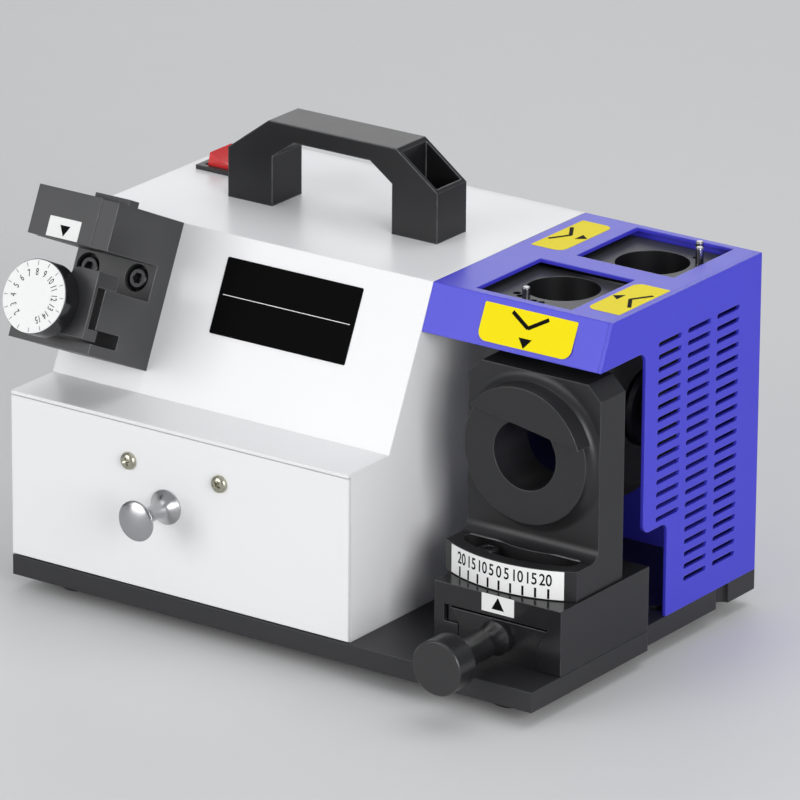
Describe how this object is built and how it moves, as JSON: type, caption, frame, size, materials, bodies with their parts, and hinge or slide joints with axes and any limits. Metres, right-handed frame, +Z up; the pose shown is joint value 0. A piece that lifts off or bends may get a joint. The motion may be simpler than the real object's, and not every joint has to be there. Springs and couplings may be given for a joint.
{
  "type": "drill bit sharpener",
  "caption": "Benchtop drill bit sharpener: white case with drawer and handle, vented blue wheel cover with top ports, swivelling point station on a feed slide, dial setting gauge.",
  "frame": {"origin": "under the middle of the machine's box, on the plane the feet stand on", "axes": "+X to the machine's right as seen from the drawer, +Y to its back, +Z up"},
  "size_m": [0.314, 0.232, 0.2295],
  "materials": {
    "deck_black": "satin black paint",
    "foot_rubber": "moulded rubber",
    "case_white": "gloss white powder coat",
    "cover_blue": "gloss blue powder coat",
    "tray_steel": "zinc-plated sheet",
    "knob_silver": "satin turned metal",
    "screw_brass": "plated",
    "screw_steel": "zinc plate",
    "screw_black": "black oxide",
    "runner_plastic": "moulded",
    "handle_plastic": "fine grain",
    "switch_black": "moulded",
    "switch_red": "glossy",
    "motor_steel": "grey paint",
    "motor_cast": "as cast",
    "motor_core": "laminated",
    "bearing_steel": "ground",
    "shaft_steel": "ground",
    "capacitor_can": "drawn can",
    "hub_alloy": "turned",
    "wheel_grit": "bonded grit",
    "port_grey": "matte anodised",
    "block_black": "black oxide, satin",
    "nut_brass": "machined",
    "knob_black": "knurled",
    "dial_black": "black anodised",
    "dial_white": "printed plate"
  },
  "bodies": {
    "frame": {"base_plate": "deck_black", "rubber_feet": "foot_rubber", "main_housing": "case_white", "rear_panel": "case_white", "rear_panel_screws": "screw_steel", "drawer_runners": "runner_plastic", "carry_handle": "handle_plastic", "handle_screws": "screw_black", "switch_bezel": "switch_black", "power_inlet": "switch_black", "inlet_blades": "screw_brass", "motor_can": "motor_steel", "drive_end_bell": "motor_cast", "rear_end_bell": "motor_cast", "stator": "motor_core", "spindle_bearings": "bearing_steel", "run_capacitor": "capacitor_can", "capacitor_strap": "tray_steel", "wheel_cover": "cover_blue", "vent_panel": "cover_blue", "relief_port_plate": "port_grey", "thinning_port_plate": "port_grey", "relief_peg": "shaft_steel", "thinning_pegs": "shaft_steel", "port_bracket": "motor_cast", "feed_way": "block_black", "gauge_body": "block_black", "gauge_index_plate": "block_black", "gauge_screws": "screw_black"},
    "drawer": {"drawer_front": "case_white", "drawer_tray": "tray_steel", "drawer_knob": "knob_silver", "drawer_screws": "screw_brass"},
    "rocker": {"switch_rocker": "switch_red"},
    "spindle": {"rotor_shaft": "shaft_steel", "cooling_fan": "runner_plastic", "wheel_hub": "hub_alloy", "grinding_wheel": "wheel_grit", "wheel_washer": "shaft_steel", "wheel_nut": "shaft_steel"},
    "saddle": {"feed_saddle": "block_black", "gib_strip": "shaft_steel", "feed_nut": "nut_brass", "pivot_pin": "shaft_steel", "angle_clamp_screw": "screw_black"},
    "feed_drive": {"feed_screw": "shaft_steel", "feed_knob": "knob_black"},
    "station": {"swivel_block": "block_black"},
    "gauge_slide": {"gauge_slider": "block_black"},
    "dial": {"gauge_dial": "dial_black", "dial_face": "dial_white", "dial_spindle": "shaft_steel"}
  },
  "joints": [
    {"name": "drawer_slide", "type": "slide", "parent": "frame", "child": "drawer", "axis": [0, -1, 0], "range_m": [0, 0.08]},
    {"name": "switch_rock", "type": "hinge", "parent": "frame", "child": "rocker", "pos_m": [-0.13375, 0.06751, 0.1839], "axis": [0, -1, 0], "range_deg": [0, 22]},
    {"name": "spindle_spin", "type": "hinge", "parent": "frame", "child": "spindle", "pos_m": [0.043, 0.05751, 0.115], "axis": [1, 0, 0], "continuous": true},
    {"name": "feed_slide", "type": "slide", "parent": "frame", "child": "saddle", "axis": [0, 1, 0], "range_m": [-0.003, 0.003]},
    {"name": "feed_knob_turn", "type": "hinge", "parent": "frame", "child": "feed_drive", "pos_m": [0.12, -0.08849, 0.0309], "axis": [0, 1, 0], "range_deg": [-720.1, 720.1]},
    {"name": "angle_swivel", "type": "hinge", "parent": "saddle", "child": "station", "pos_m": [0.1171, 0.01651, 0.0585], "axis": [0, 0, 1], "range_deg": [-20, 8]},
    {"name": "gauge_travel", "type": "slide", "parent": "frame", "child": "gauge_slide", "axis": [0, -0.9078, 0.4195], "range_m": [-0.003, 0.003]},
    {"name": "dial_turn", "type": "hinge", "parent": "gauge_slide", "child": "dial", "pos_m": [-0.12665, -0.10468, 0.16484], "axis": [0, -0.9078, 0.4195], "range_deg": [-135.1, 135.1]}
  ],
  "couplings": [
    {"joint": "feed_knob_turn", "follows": "feed_slide", "rad_per_m": 4188.8},
    {"joint": "dial_turn", "follows": "gauge_travel", "rad_per_m": 785.4}
  ]
}
